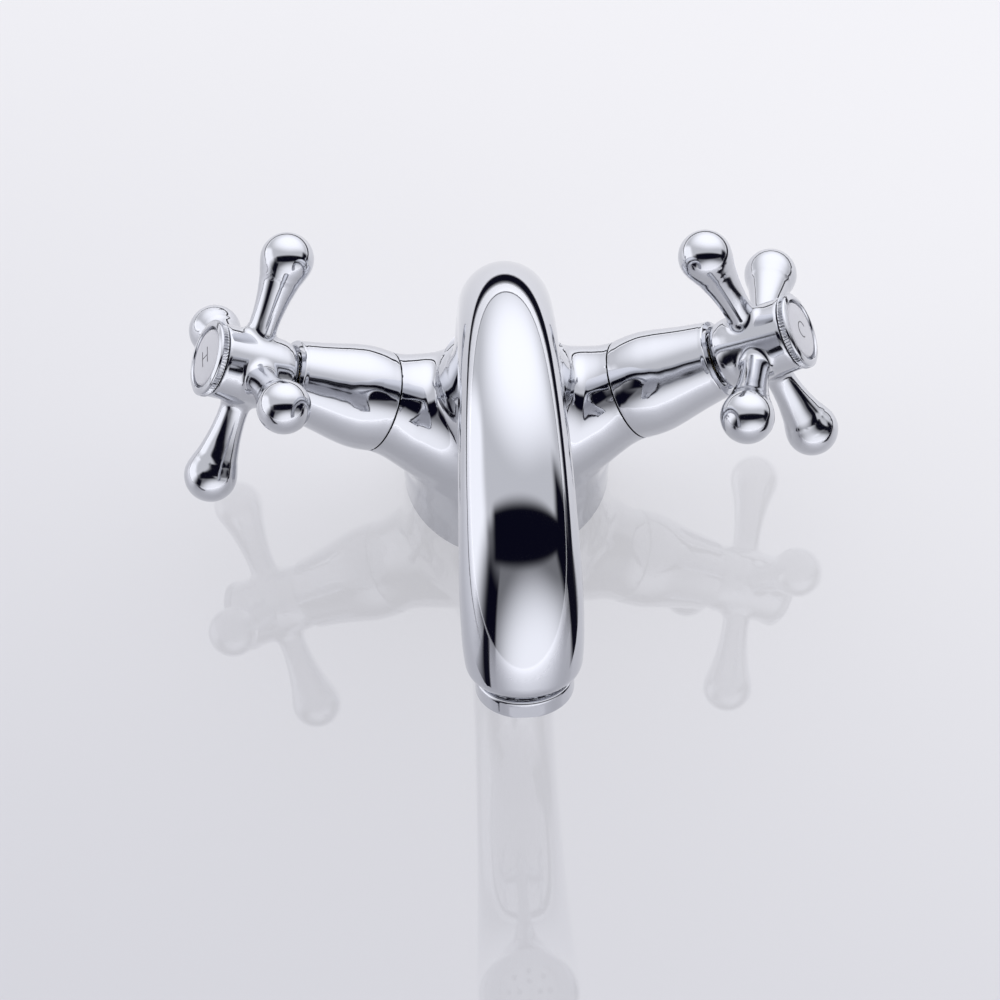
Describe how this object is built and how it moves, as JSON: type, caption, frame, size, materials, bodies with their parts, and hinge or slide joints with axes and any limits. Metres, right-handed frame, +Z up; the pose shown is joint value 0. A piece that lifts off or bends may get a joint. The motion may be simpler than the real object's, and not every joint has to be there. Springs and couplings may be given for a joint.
{
  "type": "basin mixer tap",
  "caption": "Deck-mounted basin mixer with a fixed arched spout, an aerator and a quarter-turn cross handle on either side.",
  "frame": {"origin": "centre of the base's underside, on the deck", "axes": "+Z up, the spout points along -Y, the hot valve is on -X"},
  "size_m": [0.156, 0.1429, 0.1272],
  "materials": {
    "chromed_body": "polished chrome over cast brass",
    "chromed_covers": "polished chrome over turned brass",
    "chromed_handles": "polished chrome over forged brass",
    "chromed_aerator": "polished chrome over turned brass",
    "brass": "plain machined brass",
    "steel": "plain stainless steel",
    "ceramic": "lapped ceramic",
    "enamel": "pale gloss enamel",
    "rubber": "black nitrile rubber",
    "aerator_plastic": "pale moulded plastic",
    "washer_plastic": "pale moulded plastic"
  },
  "bodies": {
    "mixer_body": {"body_casting": "chromed_body", "base_seal": "rubber", "aerator_housing": "chromed_aerator", "aerator_insert": "aerator_plastic", "aerator_washer": "rubber", "bonnet_cover_left": "chromed_covers", "bonnet_cover_right": "chromed_covers", "cartridge_body_left": "brass", "cartridge_body_right": "brass", "cartridge_gasket_left": "rubber", "cartridge_gasket_right": "rubber", "seat_seal_left": "rubber", "seat_seal_right": "rubber", "fixed_disc_left": "ceramic", "fixed_disc_right": "ceramic"},
    "left_handle": {"cross_handle_left": "chromed_handles", "index_ring_left": "chromed_handles", "index_disc_left": "enamel", "handle_screw_left": "steel", "spindle_left": "brass", "moving_disc_left": "ceramic", "spindle_o_ring_left": "rubber", "thrust_washer_left": "washer_plastic", "circlip_left": "steel"},
    "right_handle": {"cross_handle_right": "chromed_handles", "index_ring_right": "chromed_handles", "index_disc_right": "enamel", "handle_screw_right": "steel", "spindle_right": "brass", "moving_disc_right": "ceramic", "spindle_o_ring_right": "rubber", "thrust_washer_right": "washer_plastic", "circlip_right": "steel"}
  },
  "joints": [
    {"name": "left_handle_turn", "type": "hinge", "parent": "mixer_body", "child": "left_handle", "pos_m": [-0.06002, -0.0036, 0.05634], "axis": [-0.8686, 0, 0.4955], "range_deg": [0, 90]},
    {"name": "right_handle_turn", "type": "hinge", "parent": "mixer_body", "child": "right_handle", "pos_m": [0.06002, -0.0036, 0.05634], "axis": [0.8686, 0, 0.4955], "range_deg": [-90, 0]}
  ]
}
